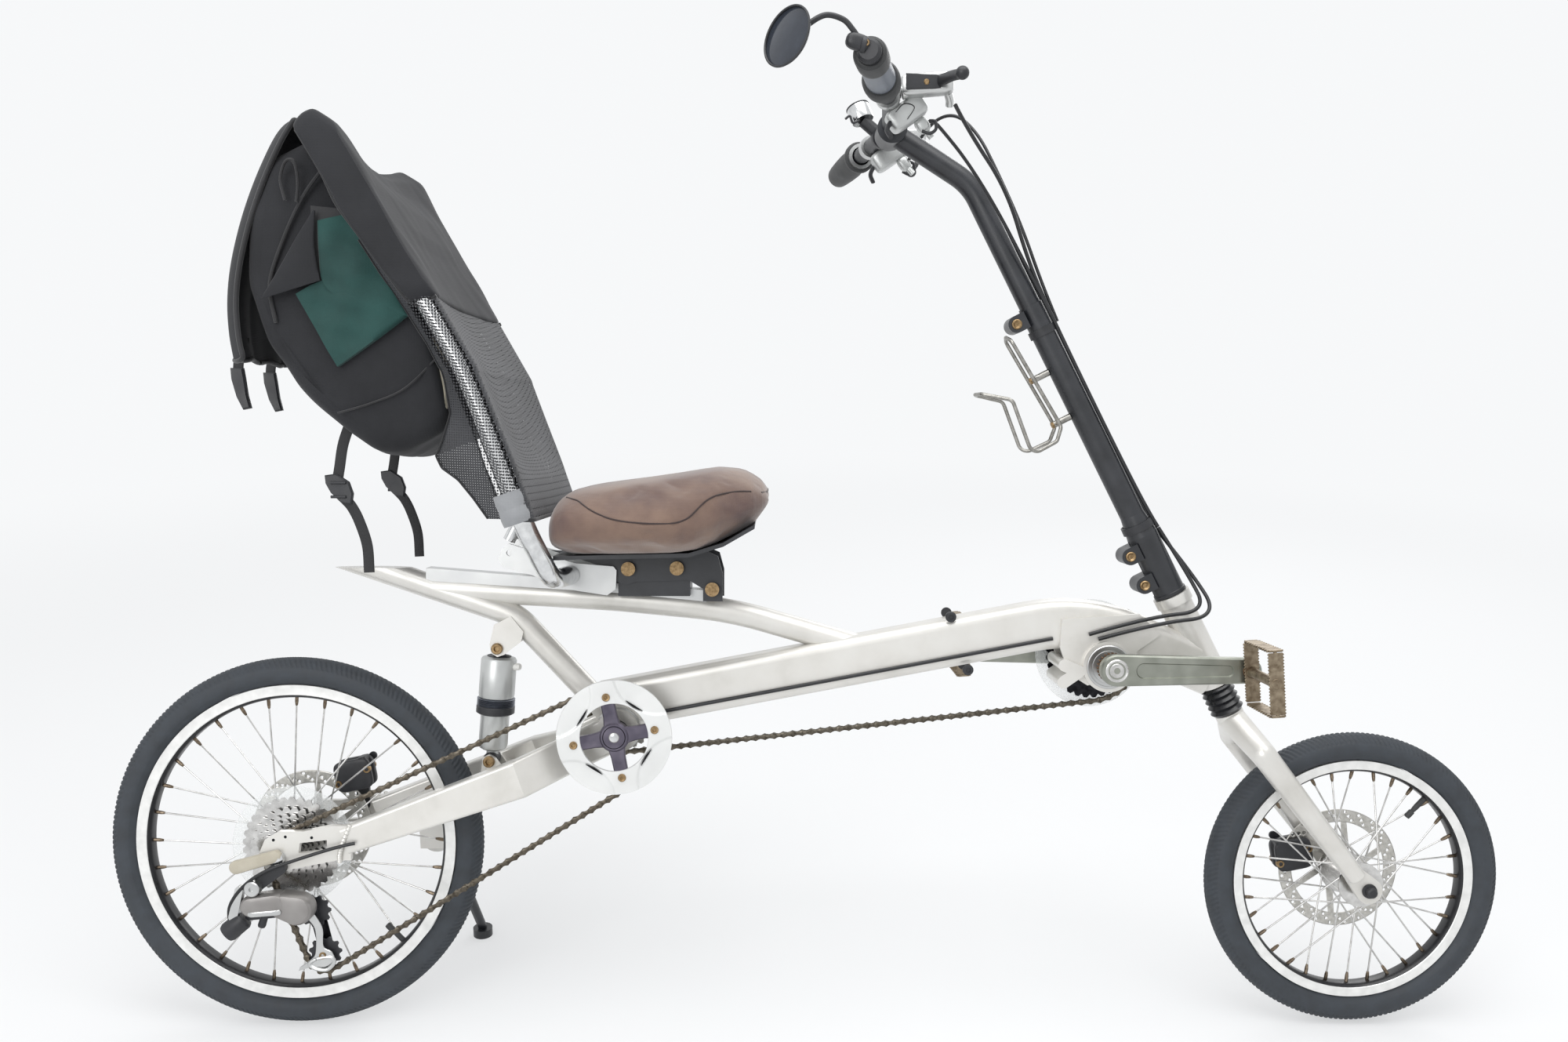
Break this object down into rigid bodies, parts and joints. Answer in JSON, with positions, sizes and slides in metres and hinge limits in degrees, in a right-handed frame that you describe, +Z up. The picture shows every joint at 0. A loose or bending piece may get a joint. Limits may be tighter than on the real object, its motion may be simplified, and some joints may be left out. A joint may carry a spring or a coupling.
{
  "type": "recumbent bicycle, semi-recumbent with small wheels and a mesh seat back",
  "caption": "Semi-recumbent bicycle with a mesh-backed seat and bag, high bar, forward cranks and a middle drive, leaning on its side stand",
  "frame": {"origin": "On the ground under the middle of the parked bicycle's outline, which leans to its left on the side stand.", "axes": "X forward along the bicycle, Y to its left, Z up."},
  "size_m": [1.8276, 0.659, 1.2596],
  "materials": {
    "frame_silver": "satin warm silver paint",
    "satin_aluminium": "satin aluminium",
    "black_paint": "satin black paint",
    "bright_steel": "plain bright steel",
    "chain_steel": "dull oiled chain steel",
    "tyre_rubber": "dark grey tyre rubber",
    "black_rubber": "black rubber",
    "clear_plastic": "clear plastic",
    "black_plastic": "matt black plastic",
    "pedal_cage": "worn pedal cage",
    "seat_cloth": "faded cushion cloth",
    "mesh_cloth": "charcoal mesh",
    "bag_cloth": "charcoal bag cloth"
  },
  "bodies": {
    "frame": {"main_beam": "frame_silver", "head_tube": "frame_silver", "stay_tube": "frame_silver", "upper_tube": "frame_silver", "seat_rail": "satin_aluminium", "bracket_shell": "frame_silver", "bracket_insert": "satin_aluminium", "jack_housing": "satin_aluminium", "swingarm_right": "frame_silver", "swingarm_left": "frame_silver", "swingarm_bridge": "frame_silver", "shock": "black_paint", "stand_bracket": "frame_silver", "seat_back_plates": "satin_aluminium", "seat_bolts": "bright_steel", "seat_base": "black_paint", "seat_cushion": "seat_cloth", "seat_back_frame": "satin_aluminium", "seat_mesh": "mesh_cloth", "seat_bag": "bag_cloth", "front_chain": "chain_steel", "rear_chain": "chain_steel", "rear_caliper": "satin_aluminium", "rear_release": "bright_steel", "derailleur": "black_plastic", "beam_cable": "black_rubber"},
    "steering": {"fork": "satin_aluminium", "fork_boot": "black_rubber", "riser": "black_paint", "inner_riser": "black_paint", "handlebar": "black_paint", "grips": "black_rubber", "bottle_cage": "satin_aluminium", "brake_levers": "satin_aluminium", "shifters": "satin_aluminium", "bell": "bright_steel", "mirror": "black_plastic", "front_caliper": "satin_aluminium", "riser_cables": "black_rubber", "loop_cables": "black_rubber"},
    "front_wheel": {"front_tyre": "tyre_rubber", "front_rim": "satin_aluminium", "front_hub_spokes": "bright_steel", "front_rotor": "bright_steel"},
    "rear_wheel": {"rear_tyre": "tyre_rubber", "rear_rim": "satin_aluminium", "rear_hub_spokes": "bright_steel", "rear_rotor": "bright_steel", "cassette": "bright_steel", "spoke_guard": "clear_plastic"},
    "crank": {"crank_right": "satin_aluminium", "crank_left": "satin_aluminium", "crank_ring": "bright_steel", "chain_guard": "clear_plastic"},
    "middle_drive": {"jack_shaft": "bright_steel", "jack_ring": "bright_steel", "guard_disc": "bright_steel"},
    "pedal_right": {"pedal_right": "pedal_cage"},
    "pedal_left": {"pedal_left": "pedal_cage"},
    "stand": {"stand_leg": "satin_aluminium"}
  },
  "joints": [
    {"name": "steering_turn", "type": "hinge", "parent": "frame", "child": "steering", "pos_m": [0.473, -0.07569, 0.5652], "axis": [-0.454, 0.1394, 0.88], "range_deg": [-45, 45], "deforming": ["loop_cables"]},
    {"name": "front_wheel_spin", "type": "hinge", "parent": "steering", "child": "front_wheel", "pos_m": [0.72, -0.13482, 0.19186], "axis": [0, 0.9877, -0.1564], "continuous": true},
    {"name": "rear_wheel_spin", "type": "hinge", "parent": "frame", "child": "rear_wheel", "pos_m": [-0.671, -0.12716, 0.24025], "axis": [0, 0.9877, -0.1564], "continuous": true},
    {"name": "crank_turn", "type": "hinge", "parent": "frame", "child": "crank", "pos_m": [0.381, -0.08938, 0.47878], "axis": [0, 0.9877, -0.1564], "continuous": true},
    {"name": "middle_drive_turn", "type": "hinge", "parent": "frame", "child": "middle_drive", "pos_m": [-0.248, -0.10322, 0.39137], "axis": [0, 0.9877, -0.1564], "continuous": true},
    {"name": "pedal_right_spin", "type": "hinge", "parent": "crank", "child": "pedal_right", "pos_m": [0.547, -0.17037, 0.49161], "axis": [0, 0.9877, -0.1564], "continuous": true},
    {"name": "pedal_left_spin", "type": "hinge", "parent": "crank", "child": "pedal_left", "pos_m": [0.215, -0.00839, 0.46595], "axis": [0, 0.9877, -0.1564], "continuous": true},
    {"name": "stand_fold", "type": "hinge", "parent": "frame", "child": "stand", "pos_m": [-0.511, -0.03406, 0.21437], "axis": [-0.0381, 0.9259, 0.376], "range_deg": [0, 87.6]}
  ],
  "couplings": [
    {"joint": "middle_drive_turn", "follows": "crank_turn", "ratio": 1.3913}
  ]
}
